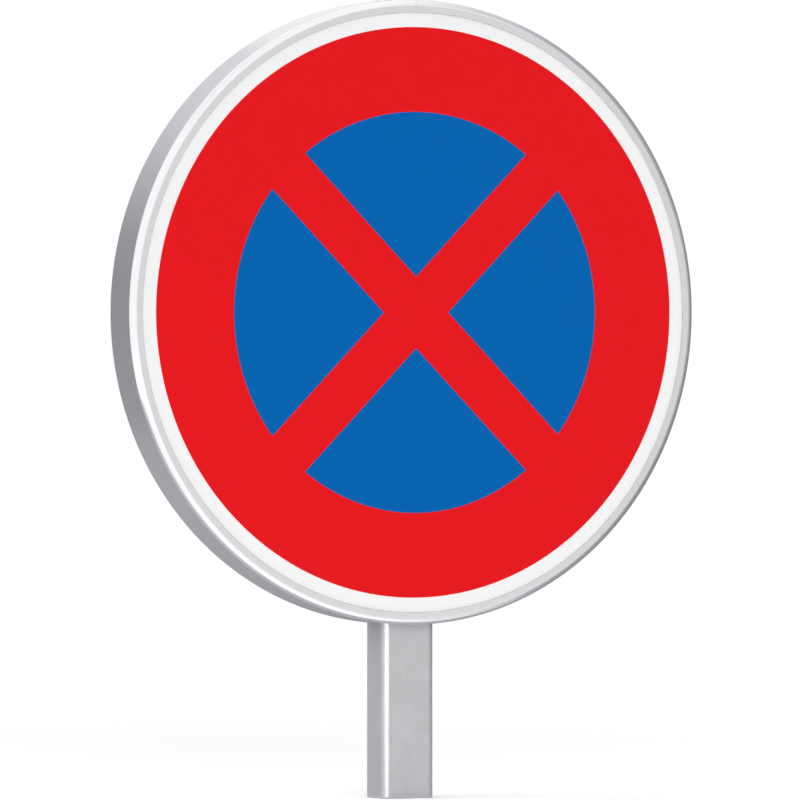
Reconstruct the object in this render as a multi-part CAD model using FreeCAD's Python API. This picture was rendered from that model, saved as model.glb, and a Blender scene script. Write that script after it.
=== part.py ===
"""Round no-stopping sign, 650 mm across, clamped to a short rectangular steel post.

The origin is the middle of the post's foot. +X is to the right as the sign is read, +Y is
to the back and +Z is up. All lengths are in millimetres, and angles are in degrees.
"""
import FreeCAD
import Part

import math
import os

from FreeCAD import Vector

# Driving dimensions: the post
POST_WIDTH = 60.0
POST_DEPTH = 45.0
POST_CORNER_R = 8.0
POST_WALL = 3.0
POST_ABOVE_RAIL = 64.0

# Driving dimensions: the cap in the top of the post
CAP_PLATE = 3.0
CAP_EDGE_R = 1.5
CAP_SKIRT_LENGTH = 20.0
CAP_SKIRT_WALL = 2.0
CAP_GAP = 0.2
CAP_RIB = 1.5

# Driving dimensions: the round sign
DISC_CENTRE_Z = 506.0
SIGN_DIAMETER = 650.0
LIP_WIDTH = 13.2
WHITE_BORDER = 15.2
RED_BORDER = 88.1
CROSS_BAR = 52.6
SHEET_THICKNESS = 2.0
WHITE_FILM = 0.4
COLOUR_FILM = 0.3

# Driving dimensions: the rolled edge profile
RIM_DEPTH = 55.0
NOSE_R = 7.0
LIP_THICKNESS = 1.6
LIP_BEVEL = 0.5
RIM_WALL = 1.8
GROOVE_DEPTH = 7.6
GROOVE_PLAY = 0.1
SHEET_EDGE_GAP = 0.6
SHELF_WIDTH = 15.0
SHELF_THICKNESS = 1.8
REAR_CORNER_R = 3.0
REAR_FLANGE_WIDTH = 13.0
REAR_HOOK = 6.0
SEAM_GAP = 0.15
NOTCH_SIDE_GAP = 2.0
NOTCH_FRONT_GAP = 1.5
NOTCH_CORNER_R = 3.0

# Driving dimensions: the plate that joins the ends of the edge profile
SPLICE_THICKNESS = 2.5
SPLICE_HALF_ANGLE = 9.0
SPLICE_END_GAP = 1.5
SPLICE_SEAT_GAP = 0.05
RIVET_ANGLE = 4.6
RIVET_INSET = 11.0
RIVET_SHANK_D = 4.8
RIVET_HOLE_D = 4.9
RIVET_HEAD_D = 9.5
RIVET_HEAD_HEIGHT = 1.5
RIVET_HEAD_BEVEL = 1.0
RIVET_TAIL_D = 6.6
RIVET_TAIL_LENGTH = 5.0
RIVET_TAIL_BEVEL = 0.9

# Driving dimensions: the two rails and the tape that bonds them to the sheet
RAIL_OFFSET = 160.0
RAIL_END_GAP = 4.0
RAIL_BASE_WIDTH = 36.0
RAIL_BASE = 2.0
RAIL_HEIGHT = 13.0
RAIL_CHANNEL = 13.6
RAIL_SIDE_WALL = 2.7
RAIL_LIP = 2.5
RAIL_SLOT = 9.0
RAIL_EDGE_R = 0.6
TAPE_THICKNESS = 1.0
TAPE_WIDTH = 30.0

# Driving dimensions: the post clamps and their M8 bolts
CLAMP_THICKNESS = 3.0
CLAMP_HEIGHT = 30.0
CLAMP_SIDE_GAP = 0.3
CLAMP_PULL = 1.0
CLAMP_BEND_R = 3.0
CLAMP_FOOT = 31.0
CLAMP_FOOT_CORNER_R = 5.0
CLAMP_HOLE_D = 9.0
BOLT_FROM_LEG = 15.0
BOLT_D = 8.0
BOLT_LENGTH = 20.0
BOLT_POINT = 0.8
HEX_ACROSS_FLATS = 13.0
BOLT_HEAD_HEIGHT = 5.3
NUT_HEIGHT = 6.8
NUT_THREAD_PLAY = 0.05
HEX_CHAMFER_ANGLE = 30.0
WASHER_D = 16.0
WASHER_HOLE_D = 8.4
WASHER_THICKNESS = 1.6

# Places that follow from the driving dimensions
OUTER_R = SIGN_DIAMETER / 2
LIP_R = OUTER_R - LIP_WIDTH
RED_R = LIP_R - WHITE_BORDER
BLUE_R = RED_R - RED_BORDER
GROOVE_R = LIP_R + GROOVE_DEPTH
SHEET_R = GROOVE_R - SHEET_EDGE_GAP
WALL_R = OUTER_R - RIM_WALL
SHELF_R = OUTER_R - SHELF_WIDTH
SHEET_FRONT = LIP_THICKNESS + WHITE_FILM
SHEET_BACK = SHEET_FRONT + SHEET_THICKNESS
SHELF_FRONT = SHEET_BACK + GROOVE_PLAY
SHELF_BACK = SHELF_FRONT + SHELF_THICKNESS
RAIL_BACK = SHEET_BACK + TAPE_THICKNESS + RAIL_HEIGHT
POST_FRONT_Y = -POST_DEPTH / 2
RIM_FRONT_Y = POST_FRONT_Y - RAIL_BACK
RAIL_FRONT_Y = POST_FRONT_Y - RAIL_HEIGHT
POST_LENGTH = DISC_CENTRE_Z + RAIL_OFFSET + POST_ABOVE_RAIL
CLAMP_LEG_X = POST_WIDTH / 2 + CLAMP_SIDE_GAP
CLAMP_FOOT_Y = POST_FRONT_Y + CLAMP_PULL
BOLT_X = CLAMP_LEG_X + CLAMP_THICKNESS + BOLT_FROM_LEG
BOLT_SEAT_Y = POST_FRONT_Y - RAIL_LIP
WASHER_Y = CLAMP_FOOT_Y + CLAMP_THICKNESS
NUT_Y = WASHER_Y + WASHER_THICKNESS
RAIL_HEIGHTS = {"upper": DISC_CENTRE_Z + RAIL_OFFSET, "lower": DISC_CENTRE_Z - RAIL_OFFSET}

DISC_CENTRE = Vector(0, 0, DISC_CENTRE_Z)
TO_RIGHT = Vector(1, 0, 0)
TO_BACK = Vector(0, 1, 0)
UPWARDS = Vector(0, 0, 1)
FULL_TURN = 360.0
QUARTER_TURN = 90.0
HEX_SIDES = 6


def on_disc_section(radius, depth):
    """Point of the sign's section, at a radius from its axis and a depth behind the lip's front."""
    return Vector(radius, RIM_FRONT_Y + depth, DISC_CENTRE_Z)


def outline(corners, at):
    """Closed face through corners (u, v, radius), each rounded by an arc where it has a radius."""
    stretches = []
    for index, (u, v, radius) in enumerate(corners):
        here = Vector(u, v, 0)
        before = Vector(*corners[index - 1][:2], 0)
        after = Vector(*corners[(index + 1) % len(corners)][:2], 0)
        if radius == 0:
            stretches.append((here, None, here))
            continue
        to_before = (before - here).normalize()
        to_after = (after - here).normalize()
        half_angle = to_before.getAngle(to_after) / 2
        reach = radius / math.tan(half_angle)
        bisector = (to_before + to_after).normalize()
        middle = here + bisector * (radius / math.sin(half_angle) - radius)
        stretches.append((here + to_before * reach, middle, here + to_after * reach))

    def placed(point):
        return at(point.x, point.y)

    edges = []
    for index, (start, middle, end) in enumerate(stretches):
        if middle is not None:
            edges.append(Part.Arc(placed(start), placed(middle), placed(end)).toShape())
        next_start = stretches[(index + 1) % len(stretches)][0]
        if (next_start - end).Length > Part.Precision.confusion():
            edges.append(Part.LineSegment(placed(end), placed(next_start)).toShape())
    return Part.Face(Part.Wire(edges))


def rounded_rectangle(width, depth, radius, z):
    """Face of a rectangle with round corners, level at height z and centred on the post's axis."""
    x = width / 2
    y = depth / 2
    corners = [(x, y, radius), (-x, y, radius), (-x, -y, radius), (x, -y, radius)]
    return outline(corners, lambda u, v: Vector(u, v, z))


def turned(profile, angle=FULL_TURN):
    """Solid swept by a section of the sign as it turns about the sign's axis."""
    return profile.revolve(DISC_CENTRE, TO_BACK, angle)


def disc(radius, front, thickness):
    """Flat round plate on the sign's axis, from a depth behind the lip's front."""
    centre = Vector(0, RIM_FRONT_Y + front, DISC_CENTRE_Z)
    return Part.makeCylinder(radius, thickness, centre, TO_BACK)


def rivet_places():
    """Angle from the top and depth behind the lip's front of each rivet of the splice."""
    depths = (SHELF_BACK + RIVET_INSET, RIM_DEPTH - RIM_WALL - RIVET_INSET)
    return [(side * RIVET_ANGLE, depth) for side in (-1, 1) for depth in depths]


def round_bar(diameter, start, length, direction):
    """Cylinder of a stated diameter."""
    return Part.makeCylinder(diameter / 2, length, start, direction)


def drilled_for_rivets(shape):
    """The shape with a radial hole at each rivet of the splice."""
    reach = REAR_FLANGE_WIDTH + RIVET_HEAD_HEIGHT
    for angle, depth in rivet_places():
        start = Vector(0, RIM_FRONT_Y + depth, DISC_CENTRE_Z + OUTER_R - REAR_FLANGE_WIDTH)
        drill = round_bar(RIVET_HOLE_D, start, reach, UPWARDS)
        drill.rotate(DISC_CENTRE, TO_BACK, angle)
        shape = shape.cut(drill)
    return shape


def rim_section():
    """Section of the edge profile: a nosed lip, a groove for the sheet, a wall and a rear hook."""
    return outline(
        [
            (LIP_R, LIP_BEVEL, 0),
            (LIP_R + LIP_BEVEL, 0, 0),
            (OUTER_R, 0, NOSE_R),
            (OUTER_R, RIM_DEPTH, REAR_CORNER_R),
            (OUTER_R - REAR_FLANGE_WIDTH, RIM_DEPTH, 0),
            (OUTER_R - REAR_FLANGE_WIDTH, RIM_DEPTH - REAR_HOOK, 0),
            (OUTER_R - REAR_FLANGE_WIDTH + RIM_WALL, RIM_DEPTH - REAR_HOOK, 0),
            (OUTER_R - REAR_FLANGE_WIDTH + RIM_WALL, RIM_DEPTH - RIM_WALL, 0),
            (WALL_R, RIM_DEPTH - RIM_WALL, 0),
            (WALL_R, SHELF_BACK, 0),
            (SHELF_R, SHELF_BACK, 0),
            (SHELF_R, SHELF_FRONT, 0),
            (GROOVE_R, SHELF_FRONT, 0),
            (GROOVE_R, LIP_THICKNESS, 0),
            (LIP_R, LIP_THICKNESS, 0),
        ],
        on_disc_section,
    )


def notch_cutter():
    """Round-cornered prism that leaves room for the post in the lower part of the rim."""
    x = POST_WIDTH / 2 + NOTCH_SIDE_GAP
    front = POST_FRONT_Y - NOTCH_FRONT_GAP
    back = RIM_FRONT_Y + RIM_DEPTH + NOTCH_CORNER_R
    corners = [(-x, front, NOTCH_CORNER_R), (x, front, NOTCH_CORNER_R), (x, back, 0), (-x, back, 0)]
    level = DISC_CENTRE_Z - OUTER_R - NOTCH_CORNER_R
    face = outline(corners, lambda u, v: Vector(u, v, level))
    return face.extrude(UPWARDS * OUTER_R)


def rim_frame():
    """Extruded edge profile rolled to a ring, with its seam at the top and a notch at the foot."""
    seam_angle = math.degrees(SEAM_GAP / OUTER_R)
    ring = turned(rim_section(), FULL_TURN - seam_angle)
    ring.rotate(DISC_CENTRE, TO_BACK, seam_angle / 2 - QUARTER_TURN)
    return drilled_for_rivets(ring.cut(notch_cutter()))


def splice_plate():
    """Curved plate inside the rim's channel that bridges the seam."""
    outer = WALL_R - SPLICE_SEAT_GAP
    inner = outer - SPLICE_THICKNESS
    front = SHELF_BACK + SPLICE_END_GAP
    back = RIM_DEPTH - RIM_WALL - SPLICE_END_GAP
    corners = [(inner, front, 0), (outer, front, 0), (outer, back, 0), (inner, back, 0)]
    plate = turned(outline(corners, on_disc_section), 2 * SPLICE_HALF_ANGLE)
    plate.rotate(DISC_CENTRE, TO_BACK, -QUARTER_TURN - SPLICE_HALF_ANGLE)
    return drilled_for_rivets(plate)


def splice_rivet(angle, depth):
    """Blind rivet through the rim's wall and the splice plate, with its head outside."""
    seat = OUTER_R
    grip_end = WALL_R - 2 * SPLICE_SEAT_GAP - SPLICE_THICKNESS
    head_top = seat + RIVET_HEAD_HEIGHT
    tail_end = grip_end - RIVET_TAIL_LENGTH
    shank = RIVET_SHANK_D / 2
    head = RIVET_HEAD_D / 2
    tail = RIVET_TAIL_D / 2
    corners = [
        (0, head_top, 0),
        (head - RIVET_HEAD_BEVEL, head_top, 0),
        (head, head_top - RIVET_HEAD_BEVEL, 0),
        (head, seat, 0),
        (shank, seat, 0),
        (shank, grip_end, 0),
        (tail, grip_end - RIVET_TAIL_BEVEL, 0),
        (tail, tail_end + RIVET_TAIL_BEVEL, 0),
        (tail - RIVET_TAIL_BEVEL, tail_end, 0),
        (0, tail_end, 0),
    ]
    y = RIM_FRONT_Y + depth
    face = outline(corners, lambda u, v: Vector(u, y, DISC_CENTRE_Z + v))
    rivet = face.revolve(Vector(0, y, 0), UPWARDS, FULL_TURN)
    rivet.rotate(DISC_CENTRE, TO_BACK, angle)
    return rivet


def blue_quadrants():
    """The four blue pieces that the red cross leaves of the blue disc, by their place on the sign."""
    front = LIP_THICKNESS - COLOUR_FILM
    blue = disc(BLUE_R, front, COLOUR_FILM)
    for angle in (-QUARTER_TURN / 2, QUARTER_TURN / 2):
        bar = Part.makeBox(SIGN_DIAMETER, 2 * COLOUR_FILM, CROSS_BAR)
        bar.translate(Vector(-SIGN_DIAMETER / 2, RIM_FRONT_Y + front - COLOUR_FILM / 2, -CROSS_BAR / 2))
        bar.translate(DISC_CENTRE)
        bar.rotate(DISC_CENTRE, TO_BACK, angle)
        blue = blue.cut(bar)
    places = {}
    for piece in blue.Solids:
        middle = piece.CenterOfMass - DISC_CENTRE
        if abs(middle.x) > abs(middle.z):
            places["right" if middle.x > 0 else "left"] = piece
        else:
            places["top" if middle.z > 0 else "bottom"] = piece
    return places


def red_film(quadrants):
    """Red border and diagonal cross, cut from one piece of film around the blue pieces."""
    film = disc(RED_R, LIP_THICKNESS - COLOUR_FILM, COLOUR_FILM)
    for quadrant in quadrants.values():
        film = film.cut(quadrant)
    return film


def rail_half_length():
    """Half the length of a rail whose corners stay clear of the rim's shelf."""
    corner_height = RAIL_OFFSET + RAIL_BASE_WIDTH / 2
    return math.sqrt((SHELF_R - RAIL_END_GAP) ** 2 - corner_height**2)


def rail(height):
    """Extruded rail with a wide base and a slotted channel that holds the bolt heads."""
    base = RAIL_BASE_WIDTH / 2
    channel = RAIL_CHANNEL / 2
    outside = channel + RAIL_SIDE_WALL
    slot = RAIL_SLOT / 2
    under_lip = RAIL_HEIGHT - RAIL_LIP
    right_half = [
        (base, 0, RAIL_EDGE_R),
        (base, RAIL_BASE, RAIL_EDGE_R),
        (outside, RAIL_BASE, RAIL_EDGE_R),
        (outside, RAIL_HEIGHT, RAIL_EDGE_R),
        (slot, RAIL_HEIGHT, RAIL_EDGE_R),
        (slot, under_lip, 0),
        (channel, under_lip, 0),
        (channel, RAIL_BASE, 0),
    ]
    left_half = [(-u, v, radius) for u, v, radius in reversed(right_half)]
    half_length = rail_half_length()

    def at(u, v):
        return Vector(-half_length, RAIL_FRONT_Y + v, height + u)

    return outline(right_half + left_half, at).extrude(TO_RIGHT * (2 * half_length))


def rail_tape(height):
    """Strip of foam tape between a rail and the back of the sheet."""
    half_length = rail_half_length()
    corner = Vector(-half_length, RAIL_FRONT_Y - TAPE_THICKNESS, height - TAPE_WIDTH / 2)
    return Part.makeBox(2 * half_length, TAPE_THICKNESS, TAPE_WIDTH, corner)


def clamp(height):
    """Bent strap round the back of the post, with a drilled foot on each side."""
    leg = CLAMP_LEG_X
    outside = leg + CLAMP_THICKNESS
    tip = outside + CLAMP_FOOT
    back = POST_DEPTH / 2
    inner_corner = POST_CORNER_R + CLAMP_SIDE_GAP
    right_half = [
        (leg, back, inner_corner),
        (leg, CLAMP_FOOT_Y, CLAMP_BEND_R + CLAMP_THICKNESS),
        (tip, CLAMP_FOOT_Y, 0),
        (tip, CLAMP_FOOT_Y + CLAMP_THICKNESS, 0),
        (outside, CLAMP_FOOT_Y + CLAMP_THICKNESS, CLAMP_BEND_R),
        (outside, back + CLAMP_THICKNESS, inner_corner + CLAMP_THICKNESS),
    ]
    left_half = [(-u, v, radius) for u, v, radius in reversed(right_half)]
    bottom = height - CLAMP_HEIGHT / 2
    face = outline(right_half + left_half, lambda u, v: Vector(u, v, bottom))
    strap = face.extrude(UPWARDS * CLAMP_HEIGHT)
    for side in (-1, 1):
        start = Vector(side * BOLT_X, CLAMP_FOOT_Y - CLAMP_THICKNESS, height)
        strap = strap.cut(round_bar(CLAMP_HOLE_D, start, 3 * CLAMP_THICKNESS, TO_BACK))
    tips = [
        edge
        for edge in strap.Edges
        if abs(abs(edge.CenterOfMass.x) - tip) < Part.Precision.confusion()
        and abs(edge.Length - CLAMP_THICKNESS) < Part.Precision.confusion()
    ]
    return strap.makeFillet(CLAMP_FOOT_CORNER_R, tips)


def hexagon(start, thickness, chamfered_ends):
    """Hexagonal block along +Y with flats up and down, chamfered at the ends in the list."""
    corner_r = HEX_ACROSS_FLATS / math.sqrt(3)
    points = []
    for step in range(HEX_SIDES + 1):
        angle = math.radians(FULL_TURN / HEX_SIDES * step)
        points.append(start + Vector(corner_r * math.cos(angle), 0, corner_r * math.sin(angle)))
    block = Part.Face(Part.makePolygon(points)).extrude(TO_BACK * thickness)
    flat_r = HEX_ACROSS_FLATS / 2
    fall = (corner_r - flat_r) * math.tan(math.radians(HEX_CHAMFER_ANGLE))
    corners = [(0, 0, 0), (corner_r, 0, 0), (corner_r, thickness, 0), (0, thickness, 0)]
    if "front" in chamfered_ends:
        corners[1:2] = [(flat_r, 0, 0), (corner_r, fall, 0)]
    if "back" in chamfered_ends:
        corners[-2:-1] = [(corner_r, thickness - fall, 0), (flat_r, thickness, 0)]
    section = outline(corners, lambda u, v: start + Vector(u, v, 0))
    return block.common(section.revolve(start, TO_BACK, FULL_TURN))


def clamp_bolt(x, height):
    """Hexagon bolt whose head sits in the rail's channel and whose shank points to the back."""
    seat = Vector(x, BOLT_SEAT_Y, height)
    head = hexagon(seat - TO_BACK * BOLT_HEAD_HEIGHT, BOLT_HEAD_HEIGHT, ["front"])
    shank = round_bar(BOLT_D, seat, BOLT_LENGTH - BOLT_POINT, TO_BACK)
    point_r = BOLT_D / 2
    point_start = seat + TO_BACK * (BOLT_LENGTH - BOLT_POINT)
    point = Part.makeCone(point_r, point_r - BOLT_POINT, BOLT_POINT, point_start, TO_BACK)
    return head.fuse([shank, point]).removeSplitter()


def clamp_washer(x, height):
    """Flat washer on the clamp's foot."""
    start = Vector(x, WASHER_Y, height)
    ring = round_bar(WASHER_D, start, WASHER_THICKNESS, TO_BACK)
    return ring.cut(round_bar(WASHER_HOLE_D, start, WASHER_THICKNESS, TO_BACK))


def clamp_nut(x, height):
    """Hexagon nut on the washer, chamfered on both sides."""
    start = Vector(x, NUT_Y, height)
    bore = round_bar(BOLT_D + 2 * NUT_THREAD_PLAY, start, NUT_HEIGHT, TO_BACK)
    return hexagon(start, NUT_HEIGHT, ["front", "back"]).cut(bore)


def post():
    """Rectangular tube with round corners, sawn square at both ends."""
    inner_r = POST_CORNER_R - POST_WALL
    outside = rounded_rectangle(POST_WIDTH, POST_DEPTH, POST_CORNER_R, 0)
    inside = rounded_rectangle(POST_WIDTH - 2 * POST_WALL, POST_DEPTH - 2 * POST_WALL, inner_r, 0)
    return outside.cut(inside).extrude(UPWARDS * POST_LENGTH)


def post_cap():
    """Moulded cap: a plate over the end of the tube, and a ribbed skirt inside it."""
    width = POST_WIDTH - 2 * POST_WALL - 2 * CAP_GAP
    depth = POST_DEPTH - 2 * POST_WALL - 2 * CAP_GAP
    inner_r = POST_CORNER_R - POST_WALL - CAP_GAP
    plate = rounded_rectangle(POST_WIDTH, POST_DEPTH, POST_CORNER_R, POST_LENGTH)
    plate = plate.extrude(UPWARDS * CAP_PLATE)
    top = POST_LENGTH + CAP_PLATE
    top_edges = [edge for edge in plate.Edges if edge.BoundBox.ZMin > top - CAP_EDGE_R / 2]
    plate = plate.makeFillet(CAP_EDGE_R, top_edges)
    start = POST_LENGTH - CAP_SKIRT_LENGTH
    outside = rounded_rectangle(width, depth, inner_r, start)
    inside = rounded_rectangle(
        width - 2 * CAP_SKIRT_WALL, depth - 2 * CAP_SKIRT_WALL, inner_r - CAP_SKIRT_WALL, start
    )
    skirt = outside.cut(inside).extrude(UPWARDS * CAP_SKIRT_LENGTH)
    rib = Part.makeBox(
        width - CAP_SKIRT_WALL,
        CAP_RIB,
        CAP_SKIRT_LENGTH,
        Vector(-(width - CAP_SKIRT_WALL) / 2, -CAP_RIB / 2, start),
    )
    return plate.fuse([skirt, rib]).removeSplitter()


def sub_parts():
    """Every sub-part of the sign, by its name."""
    quadrants = blue_quadrants()
    parts = {
        "post": post(),
        "post_cap": post_cap(),
        "rim_frame": rim_frame(),
        "rim_splice_plate": splice_plate(),
        "face_sheet": disc(SHEET_R, SHEET_FRONT, SHEET_THICKNESS),
        "white_film": disc(SHEET_R, LIP_THICKNESS, WHITE_FILM),
        "red_film": red_film(quadrants),
    }
    for place, quadrant in quadrants.items():
        parts[f"blue_film_{place}"] = quadrant
    for number, (angle, depth) in enumerate(rivet_places(), start=1):
        parts[f"splice_rivet_{number}"] = splice_rivet(angle, depth)
    for level, height in RAIL_HEIGHTS.items():
        parts[f"{level}_rail"] = rail(height)
        parts[f"{level}_rail_tape"] = rail_tape(height)
        parts[f"{level}_clamp"] = clamp(height)
        for side, x in (("left", -BOLT_X), ("right", BOLT_X)):
            parts[f"{level}_{side}_bolt"] = clamp_bolt(x, height)
            parts[f"{level}_{side}_washer"] = clamp_washer(x, height)
            parts[f"{level}_{side}_nut"] = clamp_nut(x, height)
    return parts


def main():
    os.makedirs("parts", exist_ok=True)
    for name, shape in sub_parts().items():
        if not shape.isValid() or not shape.Solids:
            raise ValueError(f"{name} is not a valid solid")
        shape.exportStep(os.path.join("parts", f"{name}.step"))
        print(f"{name}: {len(shape.Solids)} solid, {shape.Volume / 1000:.2f} cm3")


main()
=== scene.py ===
# %% [markdown]
# # A round no-stopping sign on its post
# The model of the sign arrives as a fixed frame in metres: +Z is up, the sign faces -Y and
# the middle of the post's foot is the origin. This lesson dresses that frame. Thin, curved or
# threaded pieces are built again with finer meshes, and every piece gets a finish made from nodes.
#
# We measure the boxes of the model's pieces first, because the dressed pieces take their sizes from them.

import math

import bmesh
import bpy
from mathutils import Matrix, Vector


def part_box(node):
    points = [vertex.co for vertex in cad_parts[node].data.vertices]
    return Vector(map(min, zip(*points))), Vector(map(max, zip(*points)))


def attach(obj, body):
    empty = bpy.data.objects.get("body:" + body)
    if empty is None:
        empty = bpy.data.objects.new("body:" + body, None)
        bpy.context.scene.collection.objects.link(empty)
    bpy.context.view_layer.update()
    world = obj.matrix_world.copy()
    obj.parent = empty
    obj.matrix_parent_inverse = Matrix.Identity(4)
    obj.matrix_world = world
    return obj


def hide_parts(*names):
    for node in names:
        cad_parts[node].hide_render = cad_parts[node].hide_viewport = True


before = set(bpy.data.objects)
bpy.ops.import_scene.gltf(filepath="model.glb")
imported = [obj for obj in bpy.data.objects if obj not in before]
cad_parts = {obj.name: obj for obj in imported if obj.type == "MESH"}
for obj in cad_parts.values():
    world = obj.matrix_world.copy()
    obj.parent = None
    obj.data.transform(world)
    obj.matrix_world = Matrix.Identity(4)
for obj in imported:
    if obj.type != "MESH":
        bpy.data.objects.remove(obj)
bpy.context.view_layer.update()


# %% [markdown]
# ## Sizes
# A signwright would note the sign's sizes once. The places come from the frame's own pieces, so
# they can't drift from the model. Only what a box can't tell, such as the width of the lip, is
# written as a number, in millimetres.

# %% Sizes of the sign
MM = 0.001
rim_low, rim_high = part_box("rim_frame")
RIM_DEPTH = rim_high.y - rim_low.y
OUTER_R = (rim_high.z - rim_low.z) / 2
DISC_CENTRE = Vector((0, rim_low.y, (rim_high.z + rim_low.z) / 2))
LIP_R = OUTER_R - 13.2 * MM
RED_R = LIP_R - 15.2 * MM
BLUE_R = RED_R - 88.1 * MM
CROSS_BAR = 52.6 * MM
print(f"disc {2 * OUTER_R / MM:.0f} mm across, {RIM_DEPTH / MM:.0f} mm deep")

# %% [markdown]
# ## The camera
# The sign is seen from its left and level with its middle. Its circles show almost no perspective,
# so the lens is very long and stands ten metres away. A short lens close by could fill the frame
# as well, but it would swell the near edge of the disc.
#
# We aim a little to the left of the middle of the face and below it, where the post has room.

# %% Camera
PICTURE = 800
FOCAL_PIXELS = 9745
PIXEL_ON_FACE = 1.0397 * MM
VIEW_TURN = math.radians(25.9)
FACE_RIGHT_OF_CENTRE = 16.13
FACE_ABOVE_CENTRE = 87.57
FARTHEST_SEEN = 100


def put_in_scene(name, data):
    """New object for a mesh, curve, lamp or camera, linked to the scene."""
    thing = bpy.data.objects.new(name, data)
    bpy.context.scene.collection.objects.link(thing)
    return thing


def aim(thing, target):
    """Turn a lamp or a camera so that it looks at a point."""
    direction = Vector(target) - thing.location
    thing.rotation_mode = "QUATERNION"
    thing.rotation_quaternion = direction.to_track_quat("-Z", "Y")


into_picture = Vector((math.sin(VIEW_TURN), math.cos(VIEW_TURN), 0))
to_right = Vector((math.cos(VIEW_TURN), -math.sin(VIEW_TURN), 0))
face_centre = Vector((0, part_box("red_film")[0].y, DISC_CENTRE.z))
offset = to_right * FACE_RIGHT_OF_CENTRE + Vector((0, 0, FACE_ABOVE_CENTRE))
camera = put_in_scene("camera", bpy.data.cameras.new("camera"))
camera.data.lens = FOCAL_PIXELS * camera.data.sensor_width / PICTURE
camera.data.clip_end = FARTHEST_SEEN
camera.location = face_centre - into_picture * (FOCAL_PIXELS * PIXEL_ON_FACE)
aim(camera, face_centre - offset * PIXEL_ON_FACE)
bpy.context.scene.camera = camera
print(f"lens {camera.data.lens:.0f} mm, {-camera.location.y:.2f} m in front of the post")

# %% [markdown]
# ## Writing nodes
# Finishes, boards and the sky are all node trees. Adding nodes by hand takes three lines each, so
# this small class does it in one call: it sets a node's options, and puts a number on a socket or
# links another node to it.

# %% Node helper


class Nodes:
    """The nodes of a material or a world, added one call at a time."""

    def __init__(self, owner):
        owner.use_nodes = True
        self.tree = owner.node_tree

    def set(self, node, socket, value):
        """Put a value on a socket, or link another node's output to it."""
        if isinstance(value, bpy.types.NodeSocket):
            self.tree.links.new(value, node.inputs[socket])
        else:
            node.inputs[socket].default_value = value

    def add(self, kind, inputs=None, **options):
        """Add a node with its options and its inputs, by name or number."""
        node = self.tree.nodes.new(kind)
        for option, value in options.items():
            setattr(node, option, value)
        for socket, value in (inputs or {}).items():
            self.set(node, socket, value)
        return node

    def sum(self, operation, *values):
        """Result of a sum on numbers."""
        return self.add("ShaderNodeMath", dict(enumerate(values)), operation=operation).outputs[0]

    def vector(self, operation, *values, output="Vector"):
        """Result of a sum on vectors. Its "Value" is a number, such as a length."""
        node = self.add("ShaderNodeVectorMath", dict(enumerate(values)), operation=operation)
        return node.outputs[output]

    def split(self, vector):
        """The X, Y and Z of a vector, by name."""
        return self.add("ShaderNodeSeparateXYZ", {0: vector}).outputs

    def span(self, value, low, high, to_low, to_high, smooth=False):
        """A number moved from one range to another, and held inside it."""
        inputs = {"Value": value, "From Min": low, "From Max": high, "To Min": to_low, "To Max": to_high}
        kind = "SMOOTHSTEP" if smooth else "LINEAR"
        return self.add("ShaderNodeMapRange", inputs, interpolation_type=kind).outputs["Result"]


# %% [markdown]
# ## Writing a finish
# A finish is a material: nodes round one shader. It needs a little more than sums: clouds of
# noise, a colour made lighter or darker, and a small relief.
#
# Texture coordinates come from the object itself. Every piece keeps its origin at the frame's
# origin, so those coordinates are metres in the frame, and a grain runs on from piece to piece.

# %% Finish helper


class Finish(Nodes):
    """A new material, with sockets of its shader set by name."""

    def __init__(self, name, sockets=None):
        self.material = bpy.data.materials.new(name)
        super().__init__(self.material)
        self.shader = self.tree.nodes["Principled BSDF"]
        self.coords = self.add("ShaderNodeTexCoord").outputs["Object"]
        for socket, value in (sockets or {}).items():
            self.set(self.shader, socket, value)

    def noise(self, scale, detail=2.0, roughness=0.5, coords=None):
        """Cloudy value from 0 to 1. The scale is about the number of lumps in a metre."""
        inputs = {"Vector": coords or self.coords, "Scale": scale, "Detail": detail, "Roughness": roughness}
        return self.add("ShaderNodeTexNoise", inputs).outputs["Fac"]

    def bump(self, height, distance, strength=1.0, normal=None):
        """Small relief, in metres."""
        inputs = {"Height": height, "Distance": distance, "Strength": strength}
        if normal:
            inputs["Normal"] = normal
        return self.add("ShaderNodeBump", inputs).outputs["Normal"]

    def with_shares(self, base, *shares):
        """A base value plus a share of each further value."""
        for value, share in shares:
            base = self.sum("MULTIPLY_ADD", value, share, base)
        return base

    def surface(self, colour, shade, normal, roughness=None):
        """Link a colour times a shade, a relief and a roughness, and return the material."""
        shaded = self.add("ShaderNodeVectorMath", {0: colour, "Scale": shade}, operation="SCALE")
        self.set(self.shader, "Base Color", shaded.outputs[0])
        self.set(self.shader, "Normal", normal)
        if roughness:
            self.set(self.shader, "Roughness", roughness)
        print(f"{self.material.name}: {len(self.tree.nodes)} nodes")
        return self.material


# %% [markdown]
# ## Building a piece
# Nearly every piece of a sign is a skin stretched over a row of rings: a turned rivet is a row of
# circles, the rim is its section repeated round a circle, and the post is one rounded rectangle
# carried up its outside and down its inside. So one function makes them all.

# %% Skin helpers


def circle(steps, radius, place):
    """Points of a circle, each put in space by place(x, y)."""
    turns = [2 * math.pi * step / steps for step in range(steps)]
    return [place(radius * math.cos(turn), radius * math.sin(turn)) for turn in turns]


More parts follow.
